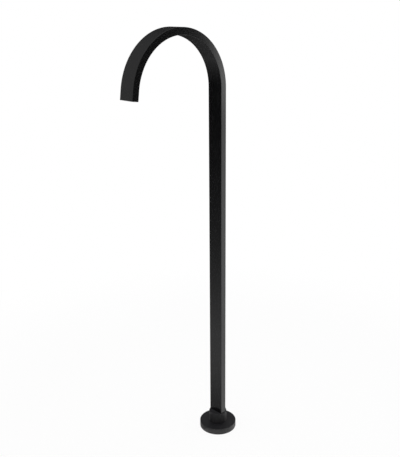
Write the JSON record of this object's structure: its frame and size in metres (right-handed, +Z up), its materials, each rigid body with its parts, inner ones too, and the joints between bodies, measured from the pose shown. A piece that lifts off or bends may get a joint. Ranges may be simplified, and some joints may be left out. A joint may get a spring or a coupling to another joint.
{
  "type": "floor standing bath filler",
  "caption": "Tall rectangular column on a round floor foot that bends over in nearly a half-circle arch and pours water down into a bath.",
  "frame": {"origin": "on the floor, at the centre of the round foot and of its floor screw holes", "axes": "+Z up the column, -Y forward to the mouth over the bath, +X across the arch, to the right when looking along +Y"},
  "size_m": [0.094, 0.3107, 1.0229],
  "materials": {
    "matt_black_coat": "matt black coating on brass",
    "bare_brass": "turned and milled, bare",
    "stainless_plate": "brushed",
    "stainless_screen": "perforated sheet",
    "black_oxide_steel": "black oxide",
    "black_rubber": "moulded",
    "fibre_washer": "pressed fibre",
    "white_nylon": "moulded",
    "black_plastic": "moulded"
  },
  "bodies": {
    "floor_kit": {"floor_gasket": "black_rubber", "floor_plate": "stainless_plate", "spigot": "bare_brass", "lock_nut": "bare_brass", "spigot_orings": "black_rubber", "slip_washer": "white_nylon", "inlet_washer": "fibre_washer", "inlet_strainer": "stainless_screen"},
    "spout": {"spout_tube": "matt_black_coat", "base_socket": "matt_black_coat", "grub_screws": "black_oxide_steel", "outlet_frame": "matt_black_coat", "outlet_gasket": "black_rubber", "outlet_screen": "stainless_screen", "flow_straightener": "black_plastic", "outlet_screws": "stainless_plate"},
    "cover": {"cover_flange": "matt_black_coat", "cover_oring": "black_rubber", "cover_seal": "black_rubber"}
  },
  "joints": [
    {"name": "spout_turn", "type": "hinge", "parent": "floor_kit", "child": "spout", "pos_m": [0, 0, 0.009], "axis": [0, 0, 1], "continuous": true},
    {"name": "cover_lift", "type": "slide", "parent": "floor_kit", "child": "cover", "axis": [0, 0, 1], "range_m": [0, 0.87]}
  ]
}
